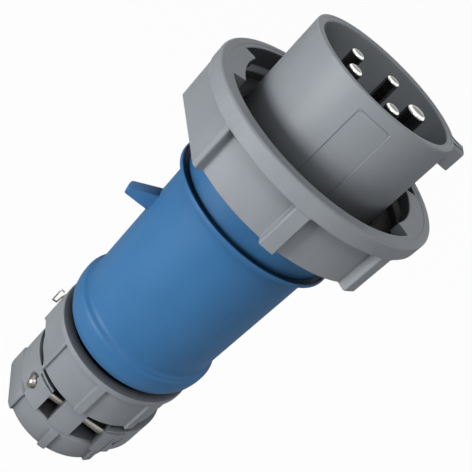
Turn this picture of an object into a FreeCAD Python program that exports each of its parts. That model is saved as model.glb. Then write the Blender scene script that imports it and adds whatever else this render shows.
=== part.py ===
# Industrial pin and sleeve plug, five poles, 16 A size, watertight pattern.
# Frame: millimetres, +Z along the plug towards the pins, origin at the centre of the rear face,
# +X through the key of the sleeve and the earth pin.
import FreeCAD
import Part
import Sketcher
import math
import os

Vector = FreeCAD.Vector
UP = Vector(0, 0, 1)

SIZES = {
    # Lengths along the axis, stacked from the rear face
    "end_length": 12.0,
    "window_length": 16.7,
    "collar_length": 19.2,
    "nut_gap": 3.8,
    "tail_length": 3.6,
    "band_length": 6.9,
    "shoulder_length": 3.8,
    "grip_length": 60.2,
    "neck_length": 12.8,
    "ring_length": 22.5,
    "sleeve_reach": 25.2,
    # Sleeve housing
    "sleeve_radius": 28.3,
    "sleeve_wall": 2.9,
    "sleeve_floor_depth": 41.3,
    "skirt_wall": 2.7,
    "skirt_length": 26.4,
    "flange_width": 5.1,
    "flange_thickness": 2.8,
    "key_height": 4.6,
    "key_length": 8.0,
    "key_width": 6.8,
    "field_depth": 0.2,
    "field_angle": 23.5,
    "field_turn": 269.25,
    # Contacts
    "pin_circle_radius": 13.43,
    "pin_radius": 2.5,
    "earth_pin_radius": 3.5,
    "pin_tip_depth": 1.1,
    "earth_tip_depth": 0.1,
    "pin_tip_round": 0.9,
    "pin_collar": 0.5,
    "barrel_wall": 1.5,
    "barrel_length": 38.0,
    "terminal_reach": 11.0,
    "wire_hole_radius": 2.3,
    "wire_hole_depth": 9.0,
    "terminal_screw_inset": 4.5,
    "terminal_screw_radius": 1.5,
    "terminal_screw_length": 3.2,
    "carrier_length": 28.0,
    "carrier_flange": 2.8,
    # Locking ring
    "mouth_gap": 11.2,
    "ring_rim": 5.0,
    "ring_mouth_depth": 7.0,
    "ring_mouth_step": 1.9,
    "ring_collar_length": 6.2,
    "ring_panel_wall": 0.8,
    "ring_flat_wall": 0.7,
    "ring_web": 4.8,
    "ring_round": 1.2,
    "lug_reach": 4.8,
    "lug_thickness": 4.0,
    "wide_lug_angle": 49.0,
    "wide_lug_turn": -7.0,
    "narrow_lug_angle": 36.0,
    "narrow_lug_turn": 181.5,
    "rib_angle": 7.5,
    "lock_travel": 50.0,
    "stop_angle": 12.0,
    "stop_turn": 90.0,
    "stop_height": 2.0,
    # Grip body
    "neck_step": 1.3,
    "neck_wall": 2.3,
    "bearing_height": 2.0,
    "bearing_length": 1.8,
    "lip_reach": 2.75,
    "lip_thickness": 1.6,
    "lip_flare": 3.6,
    "dish_depth": 1.2,
    "lip_step": 3.6,
    "grip_taper": 0.9,
    "grip_wall": 3.0,
    "shoulder_step": 2.15,
    "band_taper": 0.5,
    "tail_step": 1.9,
    "spigot_ledge": 7.5,
    "spigot_wall": 3.0,
    "spigot_length": 22.3,
    "tab_height": 10.45,
    "tab_width": 6.1,
    "tab_base_length": 8.4,
    "tab_tip_length": 2.4,
    "tab_position": 33.9,
    "tab_turn": 2.2,
    # Gland nut, a cage with two posts
    "nut_wall": 7.1,
    "nut_panel_depth": 1.3,
    "nut_flat_depth": 3.1,
    "nut_bore_chamfer": 2.25,
    "nut_collar_front": 2.4,
    "nut_web": 2.7,
    "end_step": 2.1,
    "end_panel_depth": 1.3,
    "end_flat_depth": 1.7,
    "end_chamfer": 2.3,
    "end_bore_radius": 13.5,
    "post_step": 3.5,
    "post_wall": 9.5,
    "post_width": 10.0,
    # Cable clamp
    "jaw_step": 2.8,
    "jaw_corner_step": 2.0,
    "jaw_thickness": 13.8,
    "jaw_face": 10.9,
    "jaw_face_right": 14.4,
    "jaw_nose": 4.0,
    "jaw_nose_width": 29.6,
    "ear_step": 0.3,
    "ear_length": 7.2,
    "ear_depth": 10.3,
    "ear_thickness": 12.6,
    "bite_radius": 9.0,
    "bite_width": 16.0,
    "clamp_screw_inset": 6.7,
    "clamp_head_seat": 7.0,
    "clamp_screw_tail": 5.6,
    "clamp_screw_radius": 1.8,
    "clamp_head_radius": 2.9,
    "clamp_head_length": 2.0,
    "clamp_nut_seat": 1.7,
    "clamp_nut_flat": 2.9,
    "clamp_nut_length": 2.6,
    # Gland inside the spigot
    "thrust_thickness": 2.4,
    "thrust_bore_radius": 14.0,
    "cage_thickness": 2.2,
    "cage_bore_radius": 12.0,
    "cage_finger_length": 4.0,
    "cage_finger_wall": 2.4,
    "cage_slot_width": 1.6,
    "seal_length": 17.0,
    "seal_bore_radius": 9.0,
    # Face seal and housing seal
    "face_seal_thickness": 2.7,
    "housing_seal_radius": 0.65,
    "housing_seal_depth": 10.2,
    # Wire clip
    "clip_wire_radius": 0.45,
    "clip_clearance": 0.3,
    "clip_stand_off": 3.0,
    "clip_loop_length": 9.0,
    "clip_height": 36.8,
    # Clearances
    "running_gap": 0.25,
    "seat_gap": 0.2,
}

ARC = "arc"
RIB_STEP = 45.0
POLES = 5
CAGE_FINGERS = 12
POLE_STEP = 360.0 / POLES

doc = FreeCAD.newDocument("PinAndSleevePlug")


class Size:
    """A number together with the spreadsheet formula that it comes from."""

    def __init__(self, value, text):
        self.value = value
        self.text = text

    def __add__(self, other):
        other = as_size(other)
        return Size(self.value + other.value, "(%s + %s)" % (self.text, other.text))

    def __sub__(self, other):
        other = as_size(other)
        return Size(self.value - other.value, "(%s - %s)" % (self.text, other.text))

    def __mul__(self, other):
        other = as_size(other)
        return Size(self.value * other.value, "(%s * %s)" % (self.text, other.text))

    def __truediv__(self, other):
        other = as_size(other)
        return Size(self.value / other.value, "(%s / %s)" % (self.text, other.text))

    def __neg__(self):
        return Size(-self.value, "(-1 * %s)" % self.text)


def as_size(number):
    return number if isinstance(number, Size) else Size(float(number), repr(float(number)))


def cosine(angle):
    angle = as_size(angle)
    return Size(math.cos(math.radians(angle.value)), "cos(%s * 1 deg)" % angle.text)


def sine(angle):
    angle = as_size(angle)
    return Size(math.sin(math.radians(angle.value)), "sin(%s * 1 deg)" % angle.text)


def half_chord(radius, distance):
    """Half the chord that a circle leaves at a distance from its centre."""
    value = math.sqrt(radius.value ** 2 - distance.value ** 2)
    return Size(value, "sqrt(%s ^ 2 - %s ^ 2)" % (radius.text, distance.text))


class Sheet:
    """Writes the driving dimensions and hands them out by name."""

    def __init__(self, table):
        sheet = doc.addObject("Spreadsheet::Sheet", "Sizes")
        for row, (name, value) in enumerate(table.items(), start=1):
            sheet.set("A%d" % row, name)
            sheet.set("B%d" % row, str(value))
            sheet.setAlias("B%d" % row, name)
            setattr(self, name, Size(value, "Sizes." + name))
        doc.recompute()


d = Sheet(SIZES)

# Heights of the main edges above the rear face
window_top = d.end_length + d.window_length
nut_front = window_top + d.collar_length
tail_rear = nut_front + d.nut_gap
band_rear = tail_rear + d.tail_length
crease_height = band_rear + d.band_length
waist_height = crease_height + d.shoulder_length
lip_height = waist_height + d.grip_length
ring_rear = lip_height + d.neck_length
ring_front = ring_rear + d.ring_length
rim_height = ring_front + d.sleeve_reach

# Radii of the main faces, stepped out and in from the sleeve
neck_radius = d.sleeve_radius + d.neck_step
flange_radius = d.sleeve_radius + d.flange_width
key_radius = d.sleeve_radius + d.key_height
ring_mouth_radius = d.sleeve_radius + d.mouth_gap
ring_inner_radius = ring_mouth_radius - d.ring_mouth_step
ring_radius = ring_mouth_radius + d.ring_rim
ring_panel_radius = ring_mouth_radius + d.ring_panel_wall
ring_flat_distance = ring_mouth_radius + d.ring_flat_wall
lug_radius = ring_mouth_radius - d.lug_reach
lip_radius = neck_radius + d.lip_reach
grip_front_radius = lip_radius - d.lip_step
waist_radius = grip_front_radius - d.grip_taper
shoulder_radius = waist_radius + d.shoulder_step
band_rear_radius = shoulder_radius - d.band_taper
tail_radius = band_rear_radius - d.tail_step
tab_reach = waist_radius + d.tab_height
spigot_radius = band_rear_radius - d.spigot_ledge
nut_radius = spigot_radius + d.nut_wall
nut_panel_radius = nut_radius - d.nut_panel_depth
nut_flat_distance = nut_radius - d.nut_flat_depth
end_radius = nut_radius - d.end_step
end_panel_radius = end_radius - d.end_panel_depth
end_flat_distance = end_radius - d.end_flat_depth
post_radius = nut_radius - d.post_step
post_inner_radius = post_radius - d.post_wall
jaw_radius = nut_radius - d.jaw_step
ear_radius = end_radius + d.ear_step
clamp_screw_offset = jaw_radius - d.clamp_screw_inset

# Places that several pieces share
web_rear = window_top - (d.nut_web - 1.0)
web_front = web_rear + d.nut_web
spigot_rear = band_rear - d.spigot_length
spigot_bore = spigot_radius - d.spigot_wall
neck_bore = neck_radius - d.neck_wall
bearing_front = ring_rear + d.bearing_length + d.seat_gap
ring_web_rear = bearing_front + d.seat_gap
ring_web_front = ring_web_rear + d.ring_web
flange_rear = ring_web_front + d.seat_gap * 2
flange_front = flange_rear + d.flange_thickness
skirt_radius = neck_bore - d.seat_gap
skirt_bore = skirt_radius - d.skirt_wall
skirt_rear = flange_rear - d.skirt_length
floor_height = rim_height - d.sleeve_floor_depth
carrier_front = floor_height - 0.4
carrier_rear = carrier_front - d.carrier_length
bore_end = carrier_rear - 5.0
screw_height = d.end_length + d.jaw_thickness / 2 + 0.1


def bind(item, path, size):
    """Ties one property to the spreadsheet; a plain number is only set."""
    if isinstance(size, Size):
        item.setExpression(path, size.text)


def new_body(name):
    body = doc.addObject("PartDesign::Body", name)
    body.Label = name
    return body


def attach(body, name, plane, turn, rise):
    sketch = body.newObject("Sketcher::SketchObject", name)
    support = next(item for item in body.Origin.OriginFeatures if item.Role == plane)
    sketch.AttachmentSupport = [(support, "")]
    sketch.MapMode = "FlatFace"
    spin = UP if plane == "XY_Plane" else Vector(0, 1, 0)
    turn = as_size(turn)
    rise = as_size(rise)
    offset = FreeCAD.Rotation(spin, turn.value)
    sketch.AttachmentOffset = FreeCAD.Placement(Vector(0, 0, rise.value), offset)
    if turn.value:
        bind(sketch, "AttachmentOffset.Rotation.Angle", turn)
    if rise.value:
        bind(sketch, "AttachmentOffset.Base.z", rise)
    return sketch


def fix_point(sketch, edge, end, point):
    """Holds one point at its distance from the sketch's origin, on either side of it."""
    for kind, axis, size in (("DistanceX", -2, point[0]), ("DistanceY", -1, point[1])):
        size = as_size(size)
        if size.value == 0:
            sketch.addConstraint(Sketcher.Constraint("PointOnObject", edge, end, axis))
        elif size.value > 0:
            row = sketch.addConstraint(Sketcher.Constraint(kind, -1, 1, edge, end, size.value))
            sketch.setExpression("Constraints[%d]" % row, size.text)
        else:
            size = -size
            row = sketch.addConstraint(Sketcher.Constraint(kind, edge, end, -1, 1, size.value))
            sketch.setExpression("Constraints[%d]" % row, size.text)


def flat(point):
    return Vector(as_size(point[0]).value, as_size(point[1]).value, 0)


def outline(body, name, points, plane="XZ_Plane", turn=0, rise=0):
    """A closed outline of straight edges; a point marked ARC lies on an arc between its neighbours."""
    sketch = attach(body, name, plane, turn, rise)
    corners = [point for point in points if len(point) == 2]
    spans = []
    for index, point in enumerate(points):
        if len(point) == 3:
            continue
        after = points[(index + 1) % len(points)]
        bend = after if len(after) == 3 else None
        end = points[(index + 2) % len(points)] if bend else after
        spans.append((point, bend, end))
    ends = []
    for start, bend, end in spans:
        if bend is None:
            edge = sketch.addGeometry(Part.LineSegment(flat(start), flat(end)))
            ends.append((edge, 1, 2))
            continue
        edge = sketch.addGeometry(Part.Arc(flat(start), flat(bend), flat(end)))
        begins = sketch.getPoint(edge, 1).distanceToPoint(flat(start)) < 1e-6
        ends.append((edge, 1, 2) if begins else (edge, 2, 1))
    for index in range(len(corners)):
        edge, first, last = ends[index - 1]
        following, start, _ = ends[index]
        sketch.addConstraint(Sketcher.Constraint("Coincident", edge, last, following, start))
        fix_point(sketch, following, start, corners[index])
    for (start, bend, end), (edge, _, _) in zip(spans, ends):
        if bend is not None:
            mark = sketch.addGeometry(Part.Point(flat(bend)), True)
            fix_point(sketch, mark, 1, bend)
            sketch.addConstraint(Sketcher.Constraint("PointOnObject", mark, 1, edge))
    doc.recompute()
    return sketch


def circle(body, name, x, y, radius, plane="XY_Plane", turn=0, rise=0):
    sketch = attach(body, name, plane, turn, rise)
    radius = as_size(radius)
    edge = sketch.addGeometry(Part.Circle(flat((x, y)), UP, radius.value))
    fix_point(sketch, edge, 3, (x, y))
    row = sketch.addConstraint(Sketcher.Constraint("Radius", edge, radius.value))
    sketch.setExpression("Constraints[%d]" % row, radius.text)
    doc.recompute()
    return sketch


def settle(body, before, cut):
    """Recomputes and makes sure that the last feature really added or removed material."""
    doc.recompute()
    after = body.Shape.Volume
    if before and (after >= before if cut else after <= before):
        raise RuntimeError("%s: the last feature changed nothing" % body.Label)


def volume_of(body):
    return 0.0 if body.Tip is None or body.Shape.isNull() else body.Shape.Volume


def revolve(body, sketch, cut=False, angle=None):
    before = volume_of(body)
    kind = "PartDesign::Groove" if cut else "PartDesign::Revolution"
    feature = body.newObject(kind, sketch.Name + ("Groove" if cut else "Turned"))
    feature.Profile = sketch
    feature.ReferenceAxis = (sketch, ["V_Axis"])
    feature.Angle = 360.0
    if angle is not None:
        feature.Midplane = True
        feature.Angle = as_size(angle).value
        bind(feature, "Angle", angle)
    settle(body, before, cut)
    return feature


def extrude(body, sketch, length=None, cut=False, both=False, back=False):
    before = volume_of(body)
    kind = "PartDesign::Pocket" if cut else "PartDesign::Pad"
    feature = body.newObject(kind, sketch.Name + ("Pocket" if cut else "Pad"))
    feature.Profile = sketch
    if both:
        feature.SideType = "Symmetric"
    if length is None:
        feature.Type = "ThroughAll"
    else:
        feature.Length = as_size(length).value
        bind(feature, "Length", length)
    feature.Reversed = back
    settle(body, before, cut)
    return feature


def repeat(body, feature, count, angle=360.0, cut=True):
    before = volume_of(body)
    pattern = body.newObject("PartDesign::PolarPattern", feature.Name + "Pattern")
    pattern.Originals = [feature]
    axis = next(item for item in body.Origin.OriginFeatures if item.Role == "Z_Axis")
    pattern.Axis = (axis, [""])
    pattern.Angle = angle
    pattern.Occurrences = count
    body.Tip = pattern
    settle(body, before, cut)
    return pattern


def panels(body, name, panel_radius, outer, bottom, top):
    """Recesses the wall between the ribs, apart from the two wide flat fields."""
    angle = as_size(RIB_STEP) - d.rib_angle
    for side, first in (("Far", 1.5 * RIB_STEP), ("Near", 5.5 * RIB_STEP)):
        corners = [(panel_radius, bottom), (outer, bottom), (outer, top), (panel_radius, top)]
        sketch = outline(body, name + side, corners, turn=first)
        groove = revolve(body, sketch, cut=True, angle=angle)
        repeat(body, groove, 3, 2 * RIB_STEP)


def flats(body, name, distance, outer, bottom, top):
    """Cuts the two wide flat fields, opposite each other."""
    half = outer * sine(RIB_STEP / 2 + 1.0)
    corners = [(distance, -half), (outer + 2, -half), (outer + 2, half), (distance, half)]
    sketch = outline(body, name, corners, "XY_Plane", turn=RIB_STEP / 2, rise=bottom)
    pocket = extrude(body, sketch, top - bottom, cut=True, back=True)
    repeat(body, pocket, 2)


def make_sleeve_housing():
    body = new_body("sleeve_housing")
    bore = d.sleeve_radius - d.sleeve_wall
    groove_height = flange_rear - d.housing_seal_depth
    groove_half = d.housing_seal_radius + 0.2
    groove_depth = skirt_radius - d.housing_seal_radius * 2 + 0.05
    turned = outline(body, "SleeveProfile", [
        (skirt_bore, skirt_rear), (skirt_radius - 0.6, skirt_rear), (skirt_radius, skirt_rear + 1.2),
        (skirt_radius, groove_height - groove_half), (groove_depth, groove_height - groove_half),
        (groove_depth, groove_height + groove_half), (skirt_radius, groove_height + groove_half),
        (skirt_radius, flange_rear), (flange_radius, flange_rear), (flange_radius, flange_front),
        (d.sleeve_radius + 0.15, flange_front), (d.sleeve_radius, rim_height - 0.7),
        (d.sleeve_radius - 0.2, rim_height - 0.2, ARC), (d.sleeve_radius - 0.7, rim_height),
        (bore + 0.5, rim_height), (bore, rim_height - 0.5), (bore - 0.4, floor_height),
        (skirt_bore, floor_height)])
    revolve(body, turned)
    key = outline(body, "KeyProfile", [
        (d.sleeve_radius - 1.0, rim_height - d.key_length), (key_radius, rim_height - d.key_length),
        (key_radius, rim_height - 1.6), (key_radius - 0.45, rim_height - 0.45, ARC),
        (key_radius - 1.6, rim_height), (d.sleeve_radius - 1.0, rim_height)])
    extrude(body, key, d.key_width, both=True)
    outer = d.sleeve_radius + 1.0
    field_top = rim_height - 4.0
    field_rear = ring_front - 5.5
    field = outline(body, "FieldProfile", [
        (d.sleeve_radius - d.field_depth, field_rear), (outer, field_rear), (outer, field_top),
        (d.sleeve_radius - d.field_depth, field_top)], turn=d.field_turn)
    revolve(body, field, cut=True, angle=d.field_angle)
    return body


def make_contact_carrier():
    body = new_body("contact_carrier")
    radius = skirt_bore - d.seat_gap
    turned = outline(body, "CarrierProfile", [
        (0, carrier_rear), (skirt_radius - 0.4, carrier_rear),
        (skirt_radius - 0.4, carrier_rear + d.carrier_flange), (radius, carrier_rear + d.carrier_flange),
        (radius, carrier_front - 0.6), (radius - 0.6, carrier_front), (0, carrier_front)])
    revolve(body, turned)
    gap = d.running_gap / 2
    barrel_top = carrier_rear + d.barrel_length - d.terminal_reach + d.seat_gap
    sets = (("Line", d.pin_radius, POLE_STEP, POLES - 1), ("Earth", d.earth_pin_radius, 0, 1))
    for name, radius, turn, count in sets:
        x = d.pin_circle_radius
        reach = radius + d.pin_collar + gap
        front = circle(body, name + "Hole", x, 0, reach, turn=turn, rise=carrier_rear)
        hole = extrude(body, front, cut=True, back=True)
        seat = circle(body, name + "Seat", x, 0, radius + d.barrel_wall + gap, turn=turn, rise=carrier_rear)
        if count > 1:
            repeat(body, hole, count, POLE_STEP * (count - 1))
        wide = extrude(body, seat, barrel_top - carrier_rear, cut=True, back=True)
        if count > 1:
            repeat(body, wide, count, POLE_STEP * (count - 1))
    return body


def make_pin(name, index, radius, tip_depth):
    body = new_body(name)
    rear = carrier_rear - d.terminal_reach
    barrel_top = rear + d.barrel_length
    barrel = radius + d.barrel_wall
    collar = radius + d.pin_collar
    tip = rim_height - tip_depth
    turned = outline(body, name + "Profile", [
        (0, rear + d.wire_hole_depth), (d.wire_hole_radius, rear + d.wire_hole_depth), (d.wire_hole_radius, rear),
        (barrel - 0.5, rear), (barrel, rear + 0.5), (barrel, barrel_top), (collar, barrel_top),
        (collar, floor_height - 0.2), (radius, floor_height + 0.2),
        (radius, tip - d.pin_tip_round), (radius - d.pin_tip_round * 0.3, tip - d.pin_tip_round * 0.3, ARC),
        (radius - d.pin_tip_round, tip),
        (0, tip)])
    revolve(body, turned)
    side = circle(body, name + "ScrewHole", 0, rear + d.terminal_screw_inset,
                  d.terminal_screw_radius + 0.05, "YZ_Plane")
    extrude(body, side, barrel + 1.0, cut=True, back=True)
    angle = index * POLE_STEP
    body.Placement = FreeCAD.Placement(Vector(), FreeCAD.Rotation(UP, angle))
    bind(body, "Placement.Base.x", d.pin_circle_radius * cosine(angle))
    bind(body, "Placement.Base.y", d.pin_circle_radius * sine(angle))
    return body


def rod(name, radius, length, base, direction):
    """A plain cylinder whose sizes and place follow the spreadsheet."""
    item = doc.addObject("Part::Cylinder", name)
    bind(item, "Radius", radius)
    bind(item, "Height", length)
    turn = FreeCAD.Rotation(UP, direction)
    item.Placement = FreeCAD.Placement(Vector(*[as_size(size).value for size in base]), turn)
    for axis, size in zip("xyz", base):
        bind(item, "Placement.Base." + axis, size)
    return item


def group(name, items):
    """One node that holds several separate solids."""
    item = doc.addObject("Part::Compound", name)
    item.Label = name
    item.Links = items
    doc.recompute()
    return item


def make_terminal_screws():
    rear = carrier_rear - d.terminal_reach
    screws = []
    for index in range(POLES):
        angle = index * POLE_STEP
        way = Vector(math.cos(math.radians(angle)), math.sin(math.radians(angle)), 0)
        start = d.pin_circle_radius + d.wire_hole_radius + 0.1
        base = (start * cosine(angle), start * sine(angle), rear + d.terminal_screw_inset)
        length = d.terminal_screw_length
        screws.append(rod("TerminalScrew%d" % index, d.terminal_screw_radius, length, base, way))
    return group("terminal_screws", screws)


def make_locking_ring():
    body = new_body("locking_ring")
    counterbore = neck_radius + d.bearing_height + d.running_gap
    mouth = ring_front - d.ring_mouth_depth
    turned = outline(body, "RingProfile", [
        (neck_radius + d.running_gap, ring_web_rear), (counterbore, ring_web_rear),
        (counterbore, ring_rear), (ring_radius - 0.8, ring_rear), (ring_radius, ring_rear + 0.8),
        (ring_radius, ring_front - d.ring_round),
        (ring_radius - d.ring_round * 0.3, ring_front - d.ring_round * 0.3, ARC),
        (ring_radius - d.ring_round, ring_front), (ring_mouth_radius + 0.4, ring_front),
        (ring_mouth_radius, ring_front - 0.4), (ring_mouth_radius, mouth),
        (ring_inner_radius, mouth - 1.5), (ring_inner_radius, ring_web_front),
        (neck_radius + d.running_gap, ring_web_front)])
    revolve(body, turned)
    lugs = (("WideLug", d.wide_lug_angle, d.wide_lug_turn),
            ("NarrowLug", d.narrow_lug_angle, d.narrow_lug_turn))
    for name, angle, turn in lugs:
        rear = ring_front - d.lug_thickness
        root = ring_mouth_radius + 0.9
        lug = outline(body, name, [
            (lug_radius, rear), (root, rear - 1.5), (root, ring_front - 0.6),
            (lug_radius + 0.6, ring_front), (lug_radius, ring_front - 0.6)], turn=turn)
        revolve(body, lug, angle=angle)
    collar_rear = ring_front - d.ring_collar_length
    outer = ring_radius + 1.0
    panels(body, "RingPanel", ring_panel_radius, outer, ring_rear - 1.0, collar_rear)
    flats(body, "RingFlat", ring_flat_distance, ring_radius, ring_rear - 1.0, collar_rear)
    slot_radius = counterbore + d.stop_height
    slot = outline(body, "StopSlot", [
        (counterbore - 1.0, ring_rear - 1.0), (slot_radius, ring_rear - 1.0),
        (slot_radius, ring_web_rear), (counterbore - 1.0, ring_web_rear)],
        turn=d.stop_turn - d.lock_travel / 2)
    revolve(body, slot, cut=True, angle=d.lock_travel + d.stop_angle + 1.0)
    return body


def make_face_seal():
    body = new_body("face_seal")
    inner = d.sleeve_radius + 0.4
    outer = flange_radius - 0.2
    top = flange_front + d.face_seal_thickness
    turned = outline(body, "FaceSealProfile", [
        (inner, flange_front), (outer, flange_front), (outer, top - 0.6), (outer - 0.6, top),
        (inner + 1.6, top), (inner + 0.8, top - 0.7), (inner, top)])
    revolve(body, turned)
    return body


def make_housing_seal():
    body = new_body("housing_seal")
    height = flange_rear - d.housing_seal_depth
    centre = skirt_radius - d.housing_seal_radius + 0.1
    section = circle(body, "SealSection", centre, height, d.housing_seal_radius, "XZ_Plane")
    revolve(body, section)
    return body


def make_grip_body():
    body = new_body("grip_body")
    top = bearing_front
    neck_front = flange_rear - d.seat_gap
    bearing = neck_radius + d.bearing_height
    dish = lip_height - d.dish_depth
    flare = lip_height - d.lip_thickness - d.lip_flare
    inner = waist_radius - d.grip_wall
    turned = outline(body, "GripProfile", [
        (spigot_bore, spigot_rear), (spigot_radius - 0.8, spigot_rear),
        (spigot_radius, spigot_rear + 0.8), (spigot_radius, tail_rear),
        (tail_radius - 0.6, tail_rear), (tail_radius, tail_rear + 0.6),
        (band_rear_radius - 0.25, band_rear - 0.25), (band_rear_radius, band_rear),
        (shoulder_radius - 0.12, band_rear + 2.4, ARC), (shoulder_radius, crease_height - 1.0),
        (shoulder_radius - 0.25, crease_height + 0.3, ARC), (shoulder_radius - 1.1, crease_height + 1.2),
        (waist_radius + 0.3, waist_height - 1.7, ARC), (waist_radius, waist_height),
        (grip_front_radius, flare),
        (grip_front_radius + 0.8, flare + d.lip_flare * 0.72, ARC),
        (lip_radius, lip_height - d.lip_thickness), (lip_radius, lip_height - 0.3),
        (lip_radius - 0.3, lip_height), (lip_radius - 0.8, lip_height), (lip_radius - 1.0, dish),
        (neck_radius, dish), (neck_radius, ring_rear + d.seat_gap),
        (bearing, ring_rear + d.seat_gap), (bearing, top), (neck_radius, top),
        (neck_radius, neck_front), (neck_bore + 0.5, neck_front), (neck_bore, neck_front - 0.5),
        (neck_bore, bore_end), (inner + 0.6, bore_end - 1.5), (inner, waist_height + 1.0),
        (spigot_bore, crease_height - 2.0)])
    revolve(body, turned)
    root = waist_radius - 1.0
    tab_rear = waist_height + d.tab_position
    tab = outline(body, "TabProfile", [
        (-root, tab_rear), (-root, tab_rear + d.tab_base_length),
        (-tab_reach, tab_rear + d.tab_tip_length), (-tab_reach, tab_rear)], turn=d.tab_turn)
    extrude(body, tab, d.tab_width, both=True)
    stop_radius = bearing + d.stop_height
    stop = outline(body, "StopProfile", [
        (bearing - 1.0, ring_rear + d.seat_gap * 2), (stop_radius, ring_rear + d.seat_gap * 2),
        (stop_radius, top), (bearing - 1.0, top)], turn=d.stop_turn)
    revolve(body, stop, angle=d.stop_angle)
    return body


def make_gland_nut():
    body = new_body("gland_nut")
    bore = spigot_radius + d.running_gap
    lead_in = bore + d.nut_bore_chamfer
    end_bevel = d.end_length - d.end_chamfer
    turned = outline(body, "NutProfile", [
        (d.end_bore_radius + 1.5, 0), (end_radius - 0.8, 0), (end_radius, 0.8), (end_radius, end_bevel),
        (post_radius - 1.0, d.end_length), (post_radius, d.end_length), (post_radius, window_top),
        (nut_radius - 0.6, window_top), (nut_radius, window_top + 0.6), (nut_radius, nut_front - 0.5),
        (nut_radius - 0.5, nut_front), (lead_in, nut_front), (bore, nut_front - d.nut_bore_chamfer),
        (bore, web_front), (post_inner_radius, web_front), (post_inner_radius, d.end_length),
        (d.end_bore_radius, d.end_length), (d.end_bore_radius, 1.5)])
    revolve(body, turned)
    clear = nut_radius + 3.0
    half = d.post_width / 2
    window = outline(body, "WindowCut", [
        (half, -clear), (clear, -clear), (clear, clear), (half, clear)], "XY_Plane", rise=d.end_length)
    cut = extrude(body, window, web_rear - d.end_length, cut=True, back=True)
    repeat(body, cut, 2)
    for side, y in (("Near", -clamp_screw_offset), ("Far", clamp_screw_offset)):
        hole = circle(body, "ScrewWay" + side, y, screw_height, d.clamp_screw_radius + 0.4, "YZ_Plane")
        extrude(body, hole, d.post_width + 2.0, cut=True, both=True)
    collar_front = nut_front - d.nut_collar_front
    outer = nut_radius + 1.0
    panels(body, "NutPanel", nut_panel_radius, outer, window_top - 1.0, collar_front)
    flats(body, "NutFlat", nut_flat_distance, nut_radius, window_top - 0.5, collar_front)
    outer = end_radius + 1.0
    panels(body, "EndPanel", end_panel_radius, outer, as_size(-1), end_bevel + 1.0)
    flats(body, "EndFlat", end_flat_distance, end_radius, as_size(-1), end_bevel + 1.0)
    return body


def make_thrust_ring():
    body = new_body("thrust_ring")
    rear = web_front + 0.1
    outer = spigot_radius - d.running_gap
    turned = outline(body, "ThrustProfile", [
        (d.thrust_bore_radius, rear), (outer, rear), (outer, rear + d.thrust_thickness),
        (d.thrust_bore_radius, rear + d.thrust_thickness)])
    revolve(body, turned)
    return body


def make_seal_cage():
    body = new_body("seal_cage")
    rear = web_front + d.thrust_thickness + 0.2
    outer = spigot_bore - 0.3
    front = rear + d.cage_thickness
    turned = outline(body, "CageProfile", [
        (d.cage_bore_radius, rear), (outer, rear), (outer, front),
        (outer - d.cage_finger_wall / 2, front + d.cage_finger_length),
        (outer - d.cage_finger_wall, front + d.cage_finger_length),
        (outer - d.cage_finger_wall + 0.4, front), (d.cage_bore_radius, front)])
    revolve(body, turned)
    half = d.cage_slot_width / 2
    slot = outline(body, "CageSlot", [
        (outer - d.cage_finger_wall - 0.6, -half), (outer + 1.0, -half), (outer + 1.0, half),
        (outer - d.cage_finger_wall - 0.6, half)],
        "XY_Plane", rise=front)
    cut = extrude(body, slot, d.cage_finger_length + 1.0, cut=True, back=True)
    repeat(body, cut, CAGE_FINGERS)
    return body


def make_gland_seal():
    body = new_body("gland_seal")
    rear = web_front + d.thrust_thickness + d.cage_thickness + 0.3
    seat = spigot_bore - 0.3
    outer = seat - d.cage_finger_wall - 0.3
    shoulder = rear + d.cage_finger_length + 0.6
    front = rear + d.seal_length
    turned = outline(body, "GlandSealProfile", [
        (d.seal_bore_radius + 0.8, rear), (outer, rear), (outer, shoulder), (seat, shoulder + 1.0),
        (seat, front - 2.0), (seat - 2.0, front), (d.seal_bore_radius + 0.8, front),
        (d.seal_bore_radius, front - 0.8), (d.seal_bore_radius, rear + 0.8)])
    revolve(body, turned)
    return body


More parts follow.
